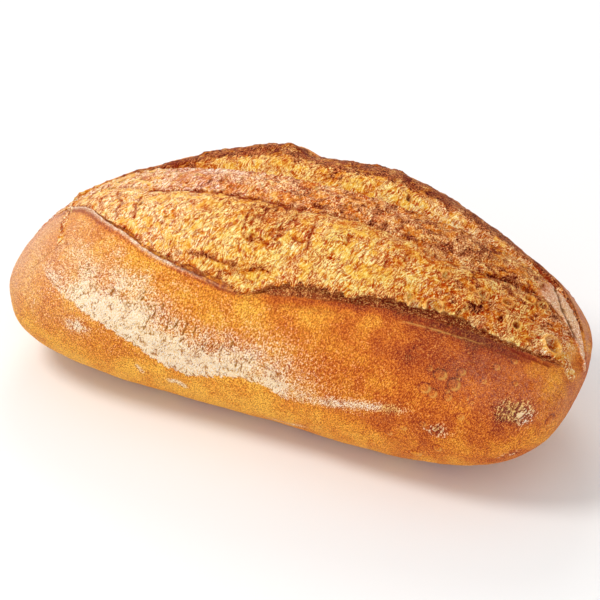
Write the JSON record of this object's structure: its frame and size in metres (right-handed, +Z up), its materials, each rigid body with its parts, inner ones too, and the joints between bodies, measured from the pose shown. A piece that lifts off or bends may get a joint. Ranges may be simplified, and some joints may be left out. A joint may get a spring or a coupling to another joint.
{
  "type": "sourdough loaf",
  "caption": "Long hand-shaped sourdough loaf, opened along its scores, with torn crumb, a strip of crust between them, a standing rim and a flat underside to rest on.",
  "frame": {"origin": "on the surface the loaf rests on, under the middle of its length and width", "axes": "+X along the loaf towards the end with the cracked tip, +Y away from the wall below the large opened score, +Z up"},
  "size_m": [0.281, 0.1402, 0.1029],
  "materials": {
    "crust": "baked crust, matte, dusted with flour"
  },
  "bodies": {
    "root": {"loaf": "crust"}
  },
  "joints": []
}
